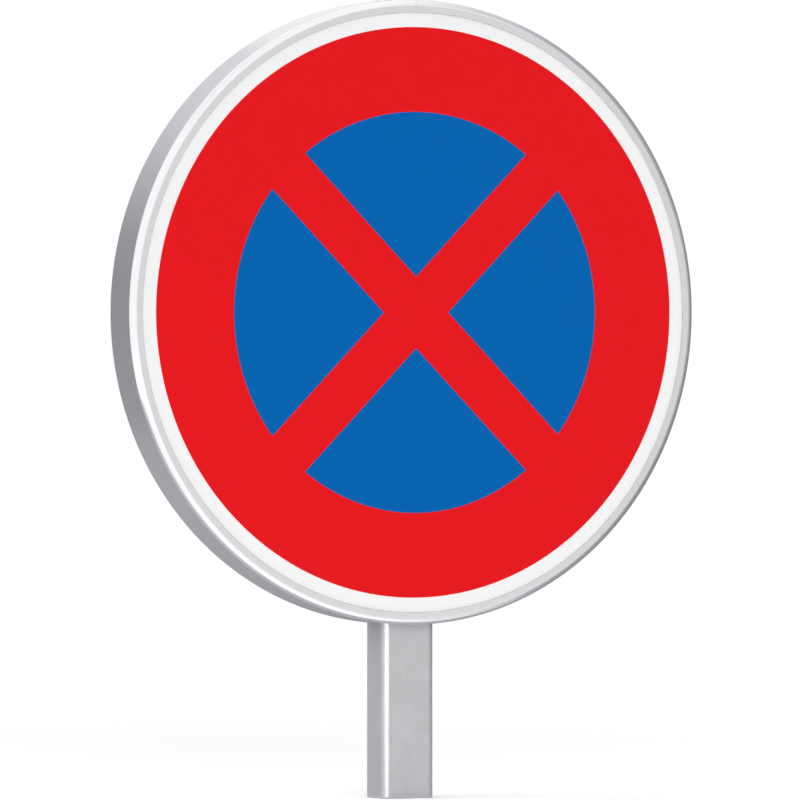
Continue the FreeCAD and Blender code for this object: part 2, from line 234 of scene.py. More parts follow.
def rounded_loop(corners, arc_steps=6):
    """Closed loop through corners (u, v, radius), with an arc where there is a radius."""
    loop = []
    for index, (u, v, radius) in enumerate(corners):
        corner = Vector((u, v))
        if not radius:
            loop.append(corner)
            continue
        to_before = (Vector(corners[index - 1][:2]) - corner).normalized()
        to_after = (Vector(corners[(index + 1) % len(corners)][:2]) - corner).normalized()
        half_angle = to_before.angle(to_after) / 2
        reach = radius / math.tan(half_angle)
        centre = corner + (to_before + to_after).normalized() * (radius / math.sin(half_angle))
        start = corner + to_before * reach - centre
        end = corner + to_after * reach - centre
        for step in range(arc_steps + 1):
            loop.append(centre + start.lerp(end, step / arc_steps).normalized() * radius)
    return loop


def mirrored(right_half):
    """Corners of a whole outline from those of its right half."""
    return right_half + [(-u, v, radius) for u, v, radius in reversed(right_half)]


def skin(name, rings, wrap=False):
    """Mesh over rings of equally many points, closed by its end rings or by wrapping round."""
    mesh = bmesh.new()
    rows = [[mesh.verts.new(point) for point in ring] for ring in rings]
    pairs = list(zip(rows, rows[1:]))
    if wrap:
        pairs.append((rows[-1], rows[0]))
    else:
        mesh.faces.new(rows[0])
        mesh.faces.new(rows[-1])
    for row, next_row in pairs:
        for index, vertex in enumerate(row):
            mesh.faces.new((row[index - 1], vertex, next_row[index], next_row[index - 1]))
    bmesh.ops.recalc_face_normals(mesh, faces=mesh.faces)
    return to_object(name, mesh)


def to_object(name, mesh):
    """Object made from a bmesh, which is freed."""
    data = bpy.data.meshes.new(name)
    mesh.to_mesh(data)
    mesh.free()
    return put_in_scene(name, data)


def column(name, loop, heights):
    """Upright piece with the same outline at every height."""
    return skin(name, [[Vector((*point, height)) for point in loop] for height in heights])


# %% [markdown]
# ## Shaping and dressing a piece
# Modifiers round edges and cut holes, and we keep their result as the piece's own mesh.
#
# Flat sides must stay flat under smooth shading. We mark only the sharp folds, and weight the
# normals by face area, so a narrow rounded edge doesn't bend the light on the wide side beside it.

# %% Modifier and dressing helpers
SHARP_FOLD = math.radians(36)


def shaped_mesh(thing):
    """Mesh of an object as it looks with its modifiers or curve settings."""
    depsgraph = bpy.context.evaluated_depsgraph_get()
    return bpy.data.meshes.new_from_object(thing.evaluated_get(depsgraph))


def apply_modifiers(piece):
    """Keep a piece's modified shape as its own mesh."""
    shaped = shaped_mesh(piece)
    piece.modifiers.clear()
    piece.data = shaped


def bevel(piece, width):
    """Round the sharp edges of a piece."""
    modifier = piece.modifiers.new("round edges", "BEVEL")
    modifier.width = width
    modifier.segments = 2
    modifier.limit_method = "ANGLE"
    modifier.angle_limit = SHARP_FOLD
    apply_modifiers(piece)


def cut(piece, *cutters):
    """Take the cutters' shapes out of a piece."""
    for cutter in cutters:
        modifier = piece.modifiers.new("cut", "BOOLEAN")
        modifier.operation = "DIFFERENCE"
        modifier.solver = "MANIFOLD"
        modifier.object = cutter
    apply_modifiers(piece)
    for cutter in cutters:
        bpy.data.objects.remove(cutter)


def dress(piece, material, slot, *nodes):
    """Shade a piece, give it its finish and put it in the frame in place of the model's nodes."""
    piece.data.shade_smooth()
    piece.data.set_sharp_from_angle(angle=SHARP_FOLD)
    piece.modifiers.new("flat sides", "WEIGHTED_NORMAL").keep_sharp = True
    piece.data.materials.clear()
    piece.data.materials.append(material)
    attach(piece, "root")
    if nodes:
        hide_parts(*nodes)
    print(f"{piece.name}: {len(piece.data.polygons)} faces")


# %% [markdown]
# ## Finish: the rim's aluminium
# The rim is an extruded profile that was rolled to a ring and anodised. The die leaves fine lines
# along the profile, so on the ring they run round it. We draw them with noise that is squeezed
# along the ring and left fine across it, so each of its lumps becomes a long line. Radius and depth
# go in as they are. The angle goes in nearly still, and it is counted from the bottom, so its one
# jump falls on the seam at the top.
#
# The nose's colour is painted a little brighter than the rest: a painted highlight that widens the bright
# line the metal mirrors there.

# %% Rim aluminium
# Where and how strongly the nose's colour is painted brighter, as a painted highlight.
ANGLE_SHARE = 3 * MM
PAINTED_HIGHLIGHT_INSET = (7 * MM, 5 * MM)
PAINTED_HIGHLIGHT_DEPTH = (5 * MM, 7.5 * MM)
PAINTED_HIGHLIGHT_SHARE = 0.39


def ring_coordinates(finish):
    """Radius, depth and angle round the sign's axis, as one vector in metres."""
    from_axis = finish.vector("SUBTRACT", finish.coords, tuple(DISC_CENTRE))
    parts = finish.split(from_axis)
    radius = finish.vector("LENGTH", finish.vector("MULTIPLY", from_axis, (1, 0, 1)), output="Value")
    below = finish.sum("MULTIPLY", parts["Z"], -1)
    angle = finish.sum("ARCTAN2", parts["X"], below)
    slow_angle = finish.sum("MULTIPLY", angle, ANGLE_SHARE)
    combined = finish.add("ShaderNodeCombineXYZ", {0: radius, 1: parts["Y"], 2: slow_angle})
    return combined.outputs[0]


def painted_nose_highlight(finish, along_ring):
    """Mask of the painted highlight: 1 on the rounded nose, fading to 0 on the flat lip and on the side
    wall.
    """
    parts = finish.split(along_ring)
    begins, full = PAINTED_HIGHLIGHT_INSET
    beyond_lip = finish.span(parts["X"], OUTER_R - begins, OUTER_R - full, 0, 1, smooth=True)
    before_wall = finish.span(parts["Y"], *PAINTED_HIGHLIGHT_DEPTH, 1, 0, smooth=True)
    return finish.sum("MULTIPLY", beyond_lip, before_wall)


def rim_aluminium():
    """Satin anodised aluminium with lines round the ring and a painted highlight on the nose."""
    finish = Finish("rim aluminium", {"Metallic": 1.0})
    along_ring = ring_coordinates(finish)
    lines = finish.noise(900, detail=4, roughness=0.7, coords=along_ring)
    broad = finish.noise(160, detail=1, coords=along_ring)
    clouds = finish.noise(14, detail=3)
    # The nose's colour is made brighter here: a painted highlight.
    highlight_mask = painted_nose_highlight(finish, along_ring)
    shade = finish.with_shares(0.965, (lines, 0.05), (clouds, 0.02), (highlight_mask, PAINTED_HIGHLIGHT_SHARE))
    relief = finish.bump(lines, 0.006 * MM, 0.6)
    matt = finish.with_shares(finish.span(broad, 0.3, 0.7, 0.17, 0.21), (lines, 0.05))
    return finish.surface((0.665, 0.671, 0.681), shade, relief, matt)


RIM_ALUMINIUM = rim_aluminium()

# %% [markdown]
# ## The rim
# The rim's section has a thin lip with a round nose in front, a groove that grips the sheet, a deep
# flat wall and a flange with a hook at the back. The model has this ring already, but with few
# facets, and the nose carries the brightest light in the whole picture. So we draw the same
# section, a loop of radius and depth, with every edge a little rounded, as extruded edges are.

# %% Rim section
RIM_WALL = 1.8 * MM
NOSE_R = 7 * MM
REAR_CORNER_R = 3 * MM
LIP_THICKNESS = 1.6 * MM
GROOVE_R = LIP_R + 7.6 * MM
SHELF_R = OUTER_R - 15 * MM
SHELF_FRONT = 4.1 * MM
SHELF_BACK = SHELF_FRONT + 1.8 * MM
FLANGE_R = OUTER_R - 13 * MM
HOOK_FRONT = RIM_DEPTH - 6 * MM
FINE_EDGE_R = 0.25 * MM
hook, inside, back = FLANGE_R + RIM_WALL, OUTER_R - RIM_WALL, RIM_DEPTH - RIM_WALL
outer_corners = [(LIP_R, 0, 2 * FINE_EDGE_R), (OUTER_R, 0, NOSE_R), (OUTER_R, RIM_DEPTH, REAR_CORNER_R)]
fine_corners = [
    (FLANGE_R, RIM_DEPTH), (FLANGE_R, HOOK_FRONT), (hook, HOOK_FRONT), (hook, back), (inside, back),
    (inside, SHELF_BACK), (SHELF_R, SHELF_BACK), (SHELF_R, SHELF_FRONT), (GROOVE_R, SHELF_FRONT),
    (GROOVE_R, LIP_THICKNESS), (LIP_R, LIP_THICKNESS),
]
section = rounded_loop(outer_corners + [(*corner, FINE_EDGE_R) for corner in fine_corners])
print(f"rim section: {len(section)} points")

# %% [markdown]
# ## The rim rolled to a ring
# We carry the section round in half-degree steps. The rings start and stop a hair's breadth apart
# at the top, which is the butt seam of the real ring. Then a boolean cuts the notch that lets the
# post pass through the lower wall. The rivets by the seam fill their holes, so no holes are cut.

# %% Rim
RIM_STEPS = 720
SEAM = 0.15 * MM
post_low, post_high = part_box("post")
NOTCH_SIDE = 2 * MM
NOTCH_FRONT = 1.5 * MM
NOTCH_CORNER_R = 3 * MM


def rim_point(turn, radius, depth):
    """Point of the sign at an angle from the top, clockwise as the sign is read."""
    return DISC_CENTRE + Vector((radius * math.sin(turn), depth, radius * math.cos(turn)))


def notch_cutter():
    """Block with round corners, as wide as the post and its clearance."""
    side = post_high.x + NOTCH_SIDE
    front = post_low.y - NOTCH_FRONT
    behind = rim_high.y + NOTCH_CORNER_R
    loop = rounded_loop(mirrored([(side, front, NOTCH_CORNER_R), (side, behind, 0)]))
    return column("notch", loop, (rim_low.z - NOTCH_CORNER_R, DISC_CENTRE.z))


half_gap = SEAM / OUTER_R / 2
full_turn = 2 * math.pi - 2 * half_gap
turns = [half_gap + full_turn * step / RIM_STEPS for step in range(RIM_STEPS + 1)]
rim = skin("rim", [[rim_point(turn, *point) for point in section] for turn in turns])
cut(rim, notch_cutter())
dress(rim, RIM_ALUMINIUM, "rim_aluminium", "rim_frame")

# %% [markdown]
# ## Finish: retroreflective sheeting
# Sign faces are covered in a plastic film that sends headlamp light back. Beneath its smooth top
# lie small sealed cells, and up close their seals show as a faint honeycomb.
#
# A honeycomb is two grids of points, one shifted by half a step. For any place on the film we take
# the nearer of the two points, and measure how far the place is from the edge of its hexagon.
# That stays sharp at any distance. The seals are a little darker, and a bump lets them catch light.

# %% Sheeting
CELL = 4.2 * MM
HEX_GRID = (1, 0, math.sqrt(3))
HALF_CELL = (0.5, 0, 0.5)
SLANTED_SIDE = (0.5, 0, math.sqrt(3) / 2)
SEAL_WIDTH = 0.07


def honeycomb_edge(finish):
    """Distance from the nearest edge of a hexagonal cell, as a share of the cell's width."""
    steps = tuple(1 / (CELL * part) if part else 0 for part in HEX_GRID)
    place = finish.vector("MULTIPLY", finish.coords, steps)
    offsets = []
    for start in ((0, 0, 0), HALF_CELL):
        cell_place = finish.vector("FRACTION", finish.vector("ADD", place, start))
        centred = finish.vector("SUBTRACT", cell_place, HALF_CELL)
        offsets.append(finish.vector("MULTIPLY", centred, HEX_GRID))
    first, second = offsets
    lengths = [finish.vector("LENGTH", offset, output="Value") for offset in (second, first)]
    second_is_nearer = finish.sum("LESS_THAN", *lengths)
    nearer = finish.add("ShaderNodeMix", {0: second_is_nearer, 4: first, 5: second}, data_type="VECTOR")
    offset = finish.vector("ABSOLUTE", nearer.outputs[1])
    across = finish.split(offset)["X"]
    slanted = finish.vector("DOT_PRODUCT", offset, SLANTED_SIDE, output="Value")
    return finish.sum("SUBTRACT", 0.5, finish.sum("MAXIMUM", across, slanted))


def sheeting(name, colour, seal_shade):
    """Sealed-cell film of one colour."""
    finish = Finish(name, {"Roughness": 0.3, "Specular IOR Level": 0.05})
    edge = honeycomb_edge(finish)
    seal = finish.span(edge, 0.0, SEAL_WIDTH, seal_shade, 1.0, smooth=True)
    clouds = finish.noise(30, detail=3)
    shade = finish.with_shares(finish.sum("SUBTRACT", seal, 0.01), (clouds, 0.02))
    dome = finish.span(edge, 0.0, 2 * SEAL_WIDTH, 0.0, 1.0, smooth=True)
    return finish.surface(colour, shade, finish.bump(dome, 0.02 * MM, 0.3))


WHITE_SHEETING = sheeting("white sheeting", (0.915, 0.915, 0.915), 0.94)
RED_SHEETING = sheeting("red sheeting", (0.780, 0.009, 0.013), 0.93)
BLUE_SHEETING = sheeting("blue sheeting", (0.0, 0.123, 0.425), 0.93)

# %% [markdown]
# ## The face films
# The white film covers the whole sheet. On it lie the red border with its cross, cut from one
# piece, and four blue pieces between the arms. A plotter cuts such films from a flat drawing, so
# we draw the same outlines: circles, and quadrants that leave the bars of the cross between them.

# %% Film outlines
OUTLINE_STEP = math.radians(0.5)


def arc(radius, start, end):
    """Points along an arc about the sign's middle."""
    steps = max(2, round(abs(end - start) / OUTLINE_STEP))
    turns = [start + (end - start) * step / steps for step in range(steps + 1)]
    return [(radius * math.cos(turn), radius * math.sin(turn)) for turn in turns]


def full_circle(radius):
    """Closed outline of a disc."""
    return arc(radius, 0, 2 * math.pi)[:-1]


def quadrant(middle):
    """Outline of the blue piece whose middle points in the given direction."""
    narrowing = math.asin(CROSS_BAR / 2 / BLUE_R)
    half_turn = math.pi / 4 - narrowing
    inner = CROSS_BAR / math.sqrt(2)
    corner = (inner * math.cos(middle), inner * math.sin(middle))
    return [corner] + arc(BLUE_R, middle - half_turn, middle + half_turn)


QUADRANTS = {"right": 0, "top": math.pi / 2, "left": math.pi, "bottom": 3 * math.pi / 2}
quadrants = {place: quadrant(middle) for place, middle in QUADRANTS.items()}
print("points in a quadrant:", len(quadrants["top"]))

# %% [markdown]
# ## Cutting the films
# Blender's 2D curves work as the plotter does: we give the outlines, and the curve fills what lies
# between them, with holes where an outline lies inside another. Thickness and a tiny rounded edge
# are two of its settings. A mesh would need the filling done by hand.

# %% Films
FILM_EDGE = 0.06 * MM


def flat_film(name, outlines, thickness):
    """Filled curve between outlines, with a thickness and fine round edges."""
    curve = bpy.data.curves.new(name, "CURVE")
    curve.dimensions = "2D"
    curve.fill_mode = "BOTH"
    curve.bevel_depth = FILM_EDGE
    curve.bevel_resolution = 1
    curve.extrude = thickness / 2 - FILM_EDGE
    curve.offset = -FILM_EDGE
    for outline in outlines:
        spline = curve.splines.new("POLY")
        spline.points.add(len(outline) - 1)
        for point, (across, up) in zip(spline.points, outline):
            point.co = (across, up, 0, 1)
        spline.use_cyclic_u = True
    return put_in_scene(name, curve)


def film(name, outlines):
    """Film that stands upright where the model has its node of the same name."""
    low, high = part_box(name)
    flat = flat_film(name, outlines, high.y - low.y)
    data = shaped_mesh(flat)
    bpy.data.objects.remove(flat)
    middle = Vector((0, (low.y + high.y) / 2, DISC_CENTRE.z))
    for vertex in data.vertices:
        across, up, out = vertex.co
        vertex.co = middle + Vector((across, -out, up))
    return put_in_scene(f"{name}_cut", data)


sheet_low, sheet_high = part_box("face_sheet")
SHEET_R = (sheet_high.z - sheet_low.z) / 2
red_outlines = [full_circle(RED_R), *quadrants.values()]
dress(film("white_film", [full_circle(SHEET_R)]), WHITE_SHEETING, "white_film", "white_film")
dress(film("red_film", red_outlines), RED_SHEETING, "red_film", "red_film")
for place, outline in quadrants.items():
    node = f"blue_film_{place}"
    dress(film(node, [outline]), BLUE_SHEETING, "blue_film", node)

# %% [markdown]
# ## Finish: the other metals
# The post and its clamps are galvanised. Zinc freezes in crystals a centimetre wide, and each
# leans its own way, so neighbouring patches differ slightly in shade and gloss. Voronoi cells look
# just so: every cell has its own random value.
#
# Rails are extruded like the rim, but straight, so their lines run along X. The sheet's back is
# left as the mill rolled it. Bolts have a thin bright zinc coat.

# %% Metals
CRYSTAL_WARP = 4 * MM


def galvanised():
    """Hot-dip zinc with faint crystals."""
    finish = Finish("galvanised steel", {"Metallic": 0.4})
    warped = finish.add("ShaderNodeTexNoise", {"Vector": finish.coords, "Scale": 60}).outputs["Color"]
    bent = finish.vector("MULTIPLY_ADD", warped, (CRYSTAL_WARP,) * 3, finish.coords)
    cells = finish.add("ShaderNodeTexVoronoi", {"Vector": bent, "Scale": 95}).outputs["Color"]
    crystal = finish.add("ShaderNodeSeparateColor", {0: cells}).outputs["Red"]
    clouds = finish.noise(22, detail=4)
    grain = finish.noise(1400, detail=2)
    shade = finish.with_shares(0.95, (crystal, 0.06), (clouds, 0.04))
    relief = finish.bump(clouds, 0.25 * MM, 0.5, finish.bump(grain, 0.01 * MM))
    matt = finish.with_shares(finish.span(crystal, 0.0, 1.0, 0.28, 0.34), (grain, 0.06))
    return finish.surface((0.470, 0.478, 0.492), shade, relief, matt)


def lined_aluminium(name, colour, stretch, matt_low, matt_high):
    """Aluminium with fine lines along the axis that stretch squeezes."""
    finish = Finish(name, {"Metallic": 1.0})
    squeezed = finish.vector("MULTIPLY", finish.coords, stretch)
    lines = finish.noise(1000, detail=4, roughness=0.7, coords=squeezed)
    clouds = finish.noise(9, detail=4)
    shade = finish.with_shares(0.94, (lines, 0.06), (clouds, 0.05))
    relief = finish.bump(lines, 0.008 * MM, 0.6)
    matt = finish.with_shares(finish.span(clouds, 0.3, 0.7, matt_low, matt_high), (lines, 0.08))
    return finish.surface(colour, shade, relief, matt)


def zinc_plate():
    """Bright zinc coat of bolts, nuts and washers."""
    finish = Finish("zinc plate", {"Metallic": 1.0})
    clouds = finish.noise(350, detail=3)
    grain = finish.noise(1800)
    shade = finish.with_shares(0.94, (clouds, 0.10))
    matt = finish.span(clouds, 0.3, 0.7, 0.28, 0.36)
    return finish.surface((0.690, 0.705, 0.725), shade, finish.bump(grain, 0.01 * MM, 0.5), matt)


GALVANISED = galvanised()
RAIL_ALUMINIUM = lined_aluminium("rail aluminium", (0.74, 0.75, 0.76), (0.01, 1, 1), 0.29, 0.36)
MILL_ALUMINIUM = lined_aluminium("mill aluminium", (0.72, 0.73, 0.74), (1, 1, 0.006), 0.34, 0.46)
RIVET_ALUMINIUM = lined_aluminium("rivet aluminium", (0.76, 0.77, 0.78), (1, 1, 1), 0.29, 0.35)
ZINC_PLATE = zinc_plate()

# %% [markdown]
# ## The post
# The post is a welded steel tube with round corners. Its light corner is the sharpest mark on the
# whole post, so the corners need many more facets than a working model has. We carry one rounded
# rectangle up the outside, over the sawn end, down the inside and back. Extra rings beside each
# edge round the saw cut a little. Inside, the weld shows as a low bead along the back wall.

# %% Post
POST_WALL = 3 * MM
POST_CORNER_R = 8 * MM
POST_CORNER_STEPS = 14
SAWN_EDGE = 0.3 * MM
BEAD_WIDTH = 5 * MM
BEAD_TOP = 0.7 * BEAD_WIDTH
BEAD_HEIGHT = 0.8 * MM
BEAD_EDGE_R = 1 * MM


def tube_ring(inset, height):
    """Rounded rectangle of the post, moved inwards by inset, at a height."""
    x = post_high.x - inset
    y = post_high.y - inset
    radius = POST_CORNER_R - inset
    corners = [(x, y, radius), (-x, y, radius), (-x, -y, radius), (x, -y, radius)]
    return [Vector((*point, height)) for point in rounded_loop(corners, POST_CORNER_STEPS)]


def make_post():
    """Tube with slightly eased sawn ends."""
    foot, top = post_low.z, post_high.z
    wall, ease = POST_WALL, SAWN_EDGE
    stations = [
        (ease, foot), (0, foot + ease), (0, top - ease), (ease, top),
        (wall - ease, top), (wall, top - ease), (wall, foot + ease), (wall - ease, foot),
    ]
    return skin("post_tube", [tube_ring(inset, height) for inset, height in stations], wrap=True)


def make_weld_bead():
    """Low round bead along the inside of the post's back wall."""
    back = post_high.y - POST_WALL
    crest = back - BEAD_HEIGHT
    loop = rounded_loop(mirrored([(BEAD_WIDTH / 2, back, 0), (BEAD_TOP / 2, crest, BEAD_EDGE_R)]))
    return column("post_weld_bead", loop, (post_low.z + SAWN_EDGE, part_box("post_cap")[0].z))


dress(make_post(), GALVANISED, "galvanised_steel", "post")
dress(make_weld_bead(), GALVANISED, "galvanised_steel")

# %% [markdown]
# ## The rails
# Two extruded rails stiffen the sheet and hold the bolts. Each is one outline drawn along X: a wide
# thin base for the bonding tape, and a channel whose lips keep a bolt head in. The outline carries
# its own fine edges, so it needs no bevel.

# %% Rails
RAIL_CHANNEL = 6.8 * MM
RAIL_OUTSIDE = 9.5 * MM
RAIL_BASE = 2 * MM
RAIL_LIP = 2.5 * MM
RAIL_SLOT = 4.5 * MM
RAIL_EDGE_R = 0.6 * MM


def make_rail(node):
    """One rail on the box of the model's own."""
    low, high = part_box(node)
    base = (high.z - low.z) / 2
    height = (high.z + low.z) / 2
    front, back = low.y, high.y
    floor, lip = front + RAIL_BASE, back - RAIL_LIP
    outer_corners = [
        (base, front), (base, floor), (RAIL_OUTSIDE, floor), (RAIL_OUTSIDE, back), (RAIL_SLOT, back),
    ]
    inner_corners = [(RAIL_SLOT, lip), (RAIL_CHANNEL, lip), (RAIL_CHANNEL, floor)]
    right_half = [(*corner, RAIL_EDGE_R) for corner in outer_corners]
    right_half += [(*corner, FINE_EDGE_R) for corner in inner_corners]
    loop = rounded_loop(mirrored(right_half))
    rings = [[Vector((x, v, height + u)) for u, v in loop] for x in (low.x, high.x)]
    return skin(f"{node}_profile", rings)


for node in ("upper_rail", "lower_rail"):
    dress(make_rail(node), RAIL_ALUMINIUM, "rail_aluminium", node)

# %% [markdown]
# ## The clamps
# A clamp is a flat strap bent round the back of the post. Its two feet are drilled for the bolts.
# The bends keep the strap's thickness, so an inner bend of 3 mm is an outer bend of 6 mm.

# %% Clamp strap
CLAMP_THICKNESS = 3 * MM
CLAMP_GAP = 0.3 * MM
CLAMP_BEND_R = 3 * MM
BEND_STEPS = 10


def clamp_loop(tip, foot, behind):
    """Outline of a strap bent round the post, seen from above."""
    leg = post_high.x + CLAMP_GAP
    outside = leg + CLAMP_THICKNESS
    bend = POST_CORNER_R + CLAMP_GAP
    right_half = [
        (leg, behind - CLAMP_THICKNESS, bend),
        (leg, foot, CLAMP_BEND_R + CLAMP_THICKNESS),
        (tip, foot, 0),
        (tip, foot + CLAMP_THICKNESS, 0),
        (outside, foot + CLAMP_THICKNESS, CLAMP_BEND_R),
        (outside, behind, bend + CLAMP_THICKNESS),
    ]
    return rounded_loop(mirrored(right_half), BEND_STEPS)


straps = {}
for node in ("upper_clamp", "lower_clamp"):
    low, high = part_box(node)
    straps[node] = column(f"{node}_strap", clamp_loop(high.x, low.y, high.y), (low.z, high.z))
print("straps:", ", ".join(straps))

# %% [markdown]
# ## Drilling and trimming the clamps
# Each foot loses a bolt hole and two corners. We make every cutter as a prism that is longer than
# the foot is thick, and one boolean takes them all. Then one bevel rounds every sheared edge, as
# tumbling and zinc do on the real strap.

# %% Clamps
CLAMP_HOLE_R = 4.5 * MM
CLAMP_FOOT_CORNER_R = 5 * MM
SHEARED_EDGE = 0.4 * MM
HOLE_STEPS = 48
CORNER_STEPS = 8
CUT_BEYOND = 1 * MM
BOLT_X = sum(corner.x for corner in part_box("upper_right_washer")) / 2


def foot_corner(x, z, side, up):
    """Outline of what rounding takes off one corner of a clamp's foot."""
    radius = CLAMP_FOOT_CORNER_R
    centre = Vector((x - side * radius, 0, z - up * radius))
    loop = []
    for step in range(CORNER_STEPS + 1):
        turn = math.pi / 2 * step / CORNER_STEPS
        loop.append(centre + Vector((side * radius * math.cos(turn), 0, up * radius * math.sin(turn))))
    far_x, far_z = x + side * CUT_BEYOND, z + up * CUT_BEYOND
    beyond = [(centre.x, far_z), (far_x, far_z), (far_x, centre.z)]
    return loop + [Vector((u, 0, v)) for u, v in beyond]


def foot_cutter(name, loop, foot):
    """Prism through a clamp's foot, from a loop of points at y = 0."""
    ends = (foot - CLAMP_THICKNESS, foot + 2 * CLAMP_THICKNESS)
    return skin(name, [[point + Vector((0, y, 0)) for point in loop] for y in ends])


def drill_and_trim(node, strap):
    """Take the holes and corners out of a strap's feet, and round its edges."""
    low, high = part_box(node)
    middle = (low.z + high.z) / 2
    half = (high.z - low.z) / 2
    cutters = []
    for side in (-1, 1):
        hole = circle(HOLE_STEPS, CLAMP_HOLE_R, lambda u, v: Vector((side * BOLT_X + u, 0, middle + v)))
        cutters.append(foot_cutter("drill", hole, low.y))
        for up in (-1, 1):
            corner = foot_corner(side * high.x, middle + up * half, side, up)
            cutters.append(foot_cutter("corner", corner, low.y))
    cut(strap, *cutters)
    bevel(strap, SHEARED_EDGE)


for node, strap in straps.items():
    drill_and_trim(node, strap)
    dress(strap, GALVANISED, "galvanised_steel", node)

# %% [markdown]
# ## Threads and hexagons
# The model's bolts have smooth shanks. On the real M8 bolt the thread shows, so we shape it: rings
# follow the shank, an eighth of the pitch apart, and each point's radius depends on how far along
# its helix the point lies. That is a real thread with no boolean and no imported model.
#
# A hexagon's chamfer is a cone that cuts six flats. In polar form it is simple: in the end face
# every point lies on one circle, and in the next ring each point lies on the hexagon, set back by
# the cone's slope.

# %% Rings about a bolt's axis
BOLT_R = 4 * MM
BOLT_POINT = 0.8 * MM
THREAD_PITCH = 1.25 * MM
THREAD_DEPTH = 0.767 * MM
THREAD_STEEPNESS = 1.3
THREAD_ROOT = 0.15
FASTENER_STEPS = 60
FLAT_R = 6.5 * MM
CHAMFER_CIRCLE_R = 0.96 * FLAT_R
CHAMFER_SLOPE = math.tan(math.radians(30))


def hexagon_radius(turn):
    """Radius of a hexagon with flats up and down, in a direction."""
    return FLAT_R / math.cos(turn % (math.pi / 3) - math.pi / 6)


def along_bolt(x, z, radius_at, y_at):
    """Ring round a bolt's axis whose radius and place depend on the direction."""
    ring = []
    for step in range(FASTENER_STEPS):
        turn = 2 * math.pi * step / FASTENER_STEPS
        radius = radius_at(turn)
        ring.append(Vector((x + radius * math.cos(turn), y_at(turn), z + radius * math.sin(turn))))
    return ring


def plain_ring(x, z, radius, y):
    """Flat round ring about a bolt's axis."""
    return along_bolt(x, z, lambda turn: radius, lambda turn: y)


def chamfer_rings(x, z, face, inward):
    """End face circle and the ring where the chamfer meets the flats."""
    def fall(turn):
        return face + inward * (hexagon_radius(turn) - CHAMFER_CIRCLE_R) * CHAMFER_SLOPE
    return [plain_ring(x, z, CHAMFER_CIRCLE_R, face), along_bolt(x, z, hexagon_radius, fall)]


def thread_ring(x, z, y, start, end):
    """Ring of the threaded shank at y, tapered at its point."""
    def radius_at(turn):
        phase = ((y - start) / THREAD_PITCH - turn / (2 * math.pi)) % 1
        wave = min(1, max(0, abs(2 * phase - 1) * THREAD_STEEPNESS - THREAD_ROOT))
        limit = BOLT_R - max(0, BOLT_POINT - (end - y))
        return min(limit, BOLT_R - THREAD_DEPTH * (1 - wave))
    return along_bolt(x, z, radius_at, lambda turn: y)


print(f"hexagon: {2 * FLAT_R / MM:.0f} mm across its flats")

# %% [markdown]
# ## Bolts, nuts and washers
# With those rings, each fastener is a list from one end to the other. A bolt is solid, so its list
# is closed at both ends. Nuts and washers have a hole, so theirs goes on through it to the start.

# %% Threaded fasteners
ROWS_PER_PITCH = 8
HEAD_HEIGHT = 5.3 * MM
HEAD_MIDDLE_R = 1 * MM
NUT_BORE_R = BOLT_R + 0.05 * MM
NUT_SINK = 0.5 * MM
WASHER_HOLE_R = 4.2 * MM
WASHER_EDGE = 0.25 * MM


def make_bolt(node, x, z):
    """Hexagon bolt with its head in the rail."""
    low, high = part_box(node)
    seat = low.y + HEAD_HEIGHT
    rings = [plain_ring(x, z, HEAD_MIDDLE_R, low.y)]
    rings += chamfer_rings(x, z, low.y, 1)
    rings.append(along_bolt(x, z, hexagon_radius, lambda turn: seat))
    rings.append(plain_ring(x, z, BOLT_R, seat))
    rows = round((high.y - seat) / THREAD_PITCH * ROWS_PER_PITCH)
    for row in range(1, rows + 1):
        y = seat + (high.y - seat) * row / rows
        rings.append(thread_ring(x, z, y, seat, high.y))
    return skin(f"{node}_threaded", rings)


def make_nut(node, x, z):
    """Hexagon nut, chamfered on both faces, with a countersunk bore."""
    low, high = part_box(node)
    mouth = NUT_BORE_R + NUT_SINK
    rings = [plain_ring(x, z, mouth, low.y)]
    rings += chamfer_rings(x, z, low.y, 1)
    rings += reversed(chamfer_rings(x, z, high.y, -1))
    rings += [
        plain_ring(x, z, mouth, high.y),
        plain_ring(x, z, NUT_BORE_R, high.y - NUT_SINK),
        plain_ring(x, z, NUT_BORE_R, low.y + NUT_SINK),
    ]
    return skin(f"{node}_hexagon", rings, wrap=True)


def make_washer(node, x, z):
    """Stamped washer, rounded on the side that the punch left."""
    low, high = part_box(node)
    edge = (high.x - low.x) / 2
    hole, ease = WASHER_HOLE_R, WASHER_EDGE
    stations = [
        (hole, low.y), (edge - ease / 2, low.y), (edge, low.y + ease / 2), (edge, high.y - ease),
        (edge - ease / 3, high.y - ease / 3), (edge - ease, high.y),
        (hole + ease, high.y), (hole, high.y - ease),
    ]
    return skin(f"{node}_stamped", [plain_ring(x, z, radius, y) for radius, y in stations], wrap=True)


for level in ("upper", "lower"):
    for side in ("left", "right"):
        for kind, make in (("bolt", make_bolt), ("nut", make_nut), ("washer", make_washer)):
            node = f"{level}_{side}_{kind}"
            low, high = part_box(node)
            piece = make(node, (low.x + high.x) / 2, (low.z + high.z) / 2)
            dress(piece, ZINC_PLATE, "zinc_fasteners", node)

# %% [markdown]
# ## The splice rivets
# Four blind rivets hold the splice plate under the seam at the top of the rim. Seen from outside,
# such a rivet is a low dome, with the broken end of its steel pin in a round hollow. From inside it
# is a bulb. All of these are turned shapes, so rings about the rivet's own axis make them, from a
# list of radius and height. The pin is a piece of its own, because the rivet is aluminium.

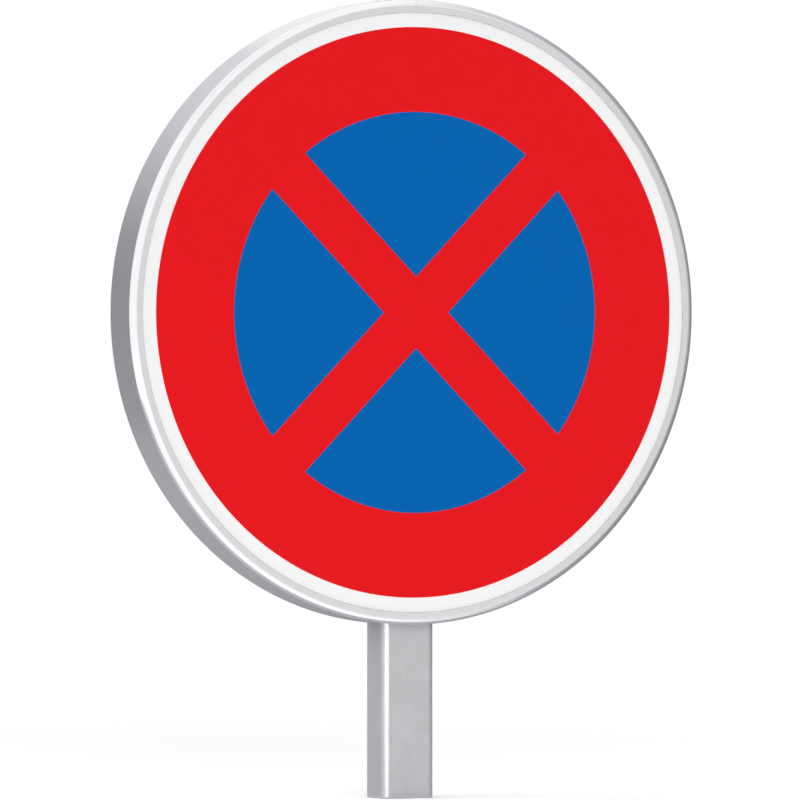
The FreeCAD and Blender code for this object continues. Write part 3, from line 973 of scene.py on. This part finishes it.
# %% Rivets
RIVET_STEPS = 40
RIVET_DOME = [
    (1.45, 0.30), (1.55, 0.98), (1.70, 1.10), (1.95, 1.15), (2.50, 1.10), (3.10, 0.97),
    (3.70, 0.76), (4.20, 0.53), (4.55, 0.30), (4.72, 0.12), (4.72, -0.04), (2.40, -0.04),
]
RIVET_BULB = [
    (2.40, 0.00), (3.00, -0.25), (3.30, -0.90), (3.35, -2.30), (3.20, -3.60), (2.60, -4.60),
    (1.40, -5.00),
]
RIVET_PIN = [(1.42, 0.25), (1.42, 0.68), (1.25, 0.78), (0.80, 0.74), (0.25, 0.88)]
SPLICE_AND_FIT = 2.6 * MM
RIVET_GRIP = RIM_WALL + SPLICE_AND_FIT


def turned(node, part, stations):
    """Piece turned about the line from the sign's axis through the model's own rivet."""
    low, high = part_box(node)
    middle = (low + high) / 2
    outward = Vector((middle.x, 0, middle.z - DISC_CENTRE.z)).normalized()
    sideways = Vector((0, 1, 0))
    across = outward.cross(sideways)
    axis_point = Vector((0, middle.y, DISC_CENTRE.z))
    rings = []
    for radius, reach in stations:
        centre = axis_point + outward * reach
        rings.append(circle(RIVET_STEPS, radius, lambda u, v: centre + across * u + sideways * v))
    return skin(f"{node}_{part}", rings)


def stations_from(start, profile):
    """Radii and distances from the sign's axis, for a profile in millimetres above a start."""
    return [(radius * MM, start + height * MM) for radius, height in profile]


for number in range(1, 5):
    node = f"splice_rivet_{number}"
    body = stations_from(OUTER_R, RIVET_DOME) + stations_from(OUTER_R - RIVET_GRIP, RIVET_BULB)
    dress(turned(node, "dome", body), RIVET_ALUMINIUM, "rivet_aluminium", node)
    dress(turned(node, "pin", stations_from(OUTER_R, RIVET_PIN)), ZINC_PLATE, "zinc_fasteners")

# %% [markdown]
# ## Finish: tape and plastic
# The bonding tape is a closed-cell foam, so its cut sides are matt and full of pin holes. The cap
# is moulded plastic with a fine spark-eroded grain. The model's own shapes are right for these
# pieces, and for the sheet and the splice plate, so they stay and only get their finishes.

# %% Tape, plastic and the kept pieces


def foam():
    """Closed-cell foam with pin holes."""
    finish = Finish("foam tape", {"Roughness": 0.95, "Specular IOR Level": 0.2})
    pores = finish.add("ShaderNodeTexVoronoi", {"Vector": finish.coords, "Scale": 2200}).outputs["Distance"]
    shade = finish.span(pores, 0.0, 0.6, 0.55, 1.15)
    return finish.surface((0.075, 0.076, 0.080), shade, finish.bump(pores, 0.15 * MM))


def moulded_plastic():
    """Black plastic with a fine moulded grain."""
    finish = Finish("moulded plastic")
    grain = finish.noise(1600, detail=2)
    clouds = finish.noise(40, detail=2)
    shade = finish.span(clouds, 0, 1, 0.85, 1.15)
    matt = finish.span(grain, 0.3, 0.7, 0.46, 0.58)
    return finish.surface((0.020, 0.020, 0.022), shade, finish.bump(grain, 0.05 * MM, 0.6), matt)


KEPT = {
    "face_sheet": MILL_ALUMINIUM,
    "rim_splice_plate": MILL_ALUMINIUM,
    "upper_rail_tape": foam(),
    "lower_rail_tape": foam(),
    "post_cap": moulded_plastic(),
}
for node, material in KEPT.items():
    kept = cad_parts[node].data.materials
    kept.clear()
    kept.append(material)
print("kept from the model:", ", ".join(KEPT))

# %% [markdown]
# ## The sky
# An even sky fills what the lamps leave dark. It is white where the camera or a mirror-like surface
# looks at it, and half as bright as a light. So metal has something white to show, and no surface
# is washed out.

# %% Sky
SKY_LIGHT = 0.50


def brightness_by_ray(nodes, plain, seen):
    """Strength that is plain as light, and seen where the camera or a mirror looks at it."""
    rays = nodes.add("ShaderNodeLightPath").outputs
    looked_at = rays["Is Camera Ray"]
    for ray in ("Is Glossy Ray", "Is Transmission Ray"):
        looked_at = nodes.sum("MAXIMUM", looked_at, rays[ray])
    return nodes.span(looked_at, 0, 1, plain, seen)


world = bpy.data.worlds.new("studio")
bpy.context.scene.world = world
sky = Nodes(world)
background = sky.tree.nodes["Background"]
sky.set(background, "Color", (1, 1, 1, 1))
sky.set(background, "Strength", brightness_by_ray(sky, SKY_LIGHT, 1.0))
print(f"sky: {SKY_LIGHT} as a light, 1 where it is looked at")

# %% [markdown]
# ## Lamps
# A sign photographs well under soft light, so these lamps are several times as wide as the sign.
# One in front and one at each side light the face evenly, one above makes the floor's soft shadow,
# and one behind lights the back. A grid before each, its spread, keeps its light off the floor at
# its own foot. The lamps hide from reflections, because boards shape the metal far more finely.
#
# The bright line on the post's corner needs something brighter than white to mirror. Two upright
# lamps give it: a narrow strong one for the line, and a wide weak one for its soft edge. They show
# only as a reflection, and light linking keeps them to the post, because the rim's metal nose
# would mirror them too.

# %% Lamps
FOCUS = Vector((0, 0, 0.45))
LAMP_SPREAD = math.radians(80)
WATTS_AS_WHITE = 4
POST_LAMP_HEIGHT = 0.3


def add_lamp(name, place, size, glow, target=FOCUS):
    """Lamp of a width and height. At a glow of 1 its face is as bright as the white sky."""
    data = bpy.data.lights.new(name, "AREA")
    data.shape = "RECTANGLE"
    data.size, data.size_y = size
    data.energy = WATTS_AS_WHITE * glow * data.size * data.size_y
    lamp = put_in_scene(name, data)
    lamp.location = place
    lamp.visible_camera = False
    aim(lamp, target)
    print(f"{name}: glow {glow}")
    return lamp


def add_soft_lamp(name, place, size, glow):
    """Square lamp with a grid before it, which the sign doesn't mirror."""
    lamp = add_lamp(name, place, (size, size), glow)
    lamp.data.spread = LAMP_SPREAD
    lamp.visible_glossy = False


def add_post_lamp(name, x, y, width, glow):
    """Upright lamp that shows only as a reflection on the post."""
    middle = POST_LAMP_HEIGHT / 2
    lamp = add_lamp(name, (x, y, middle), (width, POST_LAMP_HEIGHT), glow, Vector((0, 0, middle)))
    lamp.visible_diffuse = False
    lit = bpy.data.collections.new(f"{name} lights")
    lit.objects.link(bpy.data.objects["post_tube"])
    lamp.light_linking.receiver_collection = lit


add_soft_lamp("front lamp", (-1.2, -4.4, 2.2), 2.4, 0.60)
add_soft_lamp("left lamp", (-3.2, 0.5, 1.9), 2.2, 0.72)
add_soft_lamp("right lamp", (3.0, -3.0, 2.0), 2.4, 0.26)
add_soft_lamp("top lamp", (0.2, -0.3, 2.8), 2.2, 0.25)
add_soft_lamp("back lamp", (-0.3, 2.2, 3.2), 2.0, 0.35)
add_post_lamp("post lamp", -0.44, -0.96, 0.32, 7.6)
add_post_lamp("wide post lamp", -0.42, -0.68, 1.15, 2.0)

# %% [markdown]
# ## Making a board
# Metal shows what stands round it, so it needs dark as well as light. Photographers stand boards
# just outside the picture, and so do we. Here a board is a single face that glows a little, shows
# only in reflections and throws no shadow. Its shade may change from one end to the other, by a
# colour ramp with a stop for each shade.

# %% Board helpers
COOL_GREY = (0.97, 0.98, 1.03)
WHITE = (1.0, 1.0, 1.0)


def graded_glow(name, shades, along, tint):
    """Material that only glows, in shades from one end of an axis to the other."""
    material = bpy.data.materials.new(name)
    nodes = Nodes(material)
    nodes.tree.nodes.clear()
    place = nodes.add("ShaderNodeTexCoord").outputs["Generated"]
    ramp = nodes.add("ShaderNodeValToRGB", {0: nodes.split(place)[along]})
    glow = nodes.add("ShaderNodeEmission", {"Color": ramp.outputs["Color"]})
    nodes.add("ShaderNodeOutputMaterial", {"Surface": glow.outputs[0]})
    stops = ramp.color_ramp.elements
    while len(stops) < len(shades):
        stops.new(0.5)
    for index, (stop, shade) in enumerate(zip(stops, shades)):
        stop.position = index / (len(shades) - 1)
        stop.color = [shade * part for part in tint] + [1]
    return material


def one_face(name, corners, material):
    """Piece of the studio that is a single face."""
    mesh = bmesh.new()
    mesh.faces.new([mesh.verts.new(corner) for corner in corners])
    piece = to_object(name, mesh)
    piece.data.materials.append(material)
    return piece


def board(name, corners, shades, along="Z", tint=COOL_GREY):
    """Board that shows only in reflections."""
    piece = one_face(name, corners, graded_glow(name, shades, along, tint))
    piece.visible_camera = False
    piece.visible_diffuse = False
    piece.visible_shadow = False
    print(f"{name}: shades {shades}")


# %% [markdown]
# ## Boards
# White boards above and on the floor in front draw the bright line along the rim's nose. Grey
# boards at the right darken the nose there, and grey ones behind shape the rim's deep side.

# %% Boards
ON_FLOOR = 2 * MM


def rectangle(low_x, high_x, low_y, high_y, height):
    """Corners of a level rectangle."""
    plan = [(low_x, low_y), (high_x, low_y), (high_x, high_y), (low_x, high_y)]
    return [(x, y, height) for x, y in plan]


board("upper board", rectangle(-1.3, 1.4, -1.5, 1.6, 2.0),
      (0.94, 0.94, 0.97, 0.98, 1.04, 0.72, 0.55), along="X", tint=WHITE)
board("upper back board", [(-0.3, 1.7, 0.7), (1.6, 1.7, 0.7), (1.6, 1.6, 2.0), (-0.3, 1.6, 2.0)],
      (1.05, 1.10), tint=WHITE)
low_front = [(-1.0, -0.9), (-0.45, -0.9), (-0.1, -0.45), (0.36, -0.35), (0.36, -0.09), (-1.0, -0.09)]
board("low front board", [(x, y, ON_FLOOR) for x, y in low_front],
      (0.98, 0.98, 1.00, 1.03, 1.07, 1.13, 1.10, 0.82, 0.5), along="X", tint=WHITE)
board("back left board", [(-1.7, 1.2, 0), (0.1, 1.2, 0), (0.1, 1.2, 1.4), (-1.7, 1.2, 1.4)],
      (0.44, 0.41, 0.38, 0.42, 0.62, 1.00))
board("low back board", rectangle(-1.24, 0.62, -0.085, 1.6, ON_FLOOR),
      (0.43, 0.45, 0.52, 0.53, 0.45, 0.35, 0.35), along="X")
board("low far board", [(0.1, 1.2, 0), (1.4, 1.2, 0), (1.4, 1.2, 0.35), (0.1, 1.2, 0.35)],
      (0.40, 0.40))
board("right front board", [(0.36, -0.37, 0), (0.36, -0.12, 0), (1.41, -0.32, 2.0), (1.41, -0.60, 2.0)],
      (0.40, 0.36, 0.52, 0.44, 0.39, 0.36, 0.34, 0.30, 0.26))
board("upper right front board",
      [(0.70, -0.445, 0.65), (1.41, -0.60, 2.0), (1.41, -1.5, 2.0), (0.70, -0.70, 0.65)],
      (0.42, 0.43, 0.54, 0.56))
board("right board", [(0.36, -0.12, 0), (0.36, 1.1, 0), (1.41, 1.1, 2.0), (1.41, -0.32, 2.0)],
      (0.34, 0.24, 0.27, 0.28, 0.32, 0.38, 0.42, 0.46, 0.50))

# %% [markdown]
# ## The floor
# A pale floor takes the sign's soft shadow. Far away it has to melt into the white sky, where the
# lamps hardly reach it. So where it is looked at, it glows by the share of white that the light
# there doesn't give: a little near the post, and more far out. As a light it is an ordinary pale
# floor.

# %% Floor
FLOOR_REACH = 22
FLOOR_HEIGHT = -0.2 * MM
FLOOR_SHADE = 0.9
FAR_BRIGHTNESS = 1.01
LAMPLIT_REACH = 0.5
UNLIT_REACH = 3.2
NEAR_GLOW = 0.10
finish = Finish("pale floor", {
    "Base Color": (FLOOR_SHADE, FLOOR_SHADE, FLOOR_SHADE, 1),
    "Roughness": 0.9,
    "Specular IOR Level": 0.0,
    "Emission Color": (1, 1, 1, 1),
})
from_post = finish.vector("LENGTH", finish.coords, output="Value")
far_glow = FAR_BRIGHTNESS - FLOOR_SHADE * SKY_LIGHT
glow = finish.span(from_post, LAMPLIT_REACH, UNLIT_REACH, NEAR_GLOW, far_glow, smooth=True)
finish.set(finish.shader, "Emission Strength", brightness_by_ray(finish, 0.0, glow))
floor_corners = rectangle(-FLOOR_REACH, FLOOR_REACH, -FLOOR_REACH, FLOOR_REACH, FLOOR_HEIGHT)
one_face("floor", floor_corners, finish.material)
print(f"floor: {2 * FLOOR_REACH} m square")

# %% [markdown]
# ## Colour
# The standard view shows a colour as it was written.

# %% Colour
bpy.context.scene.view_settings.view_transform = "Standard"
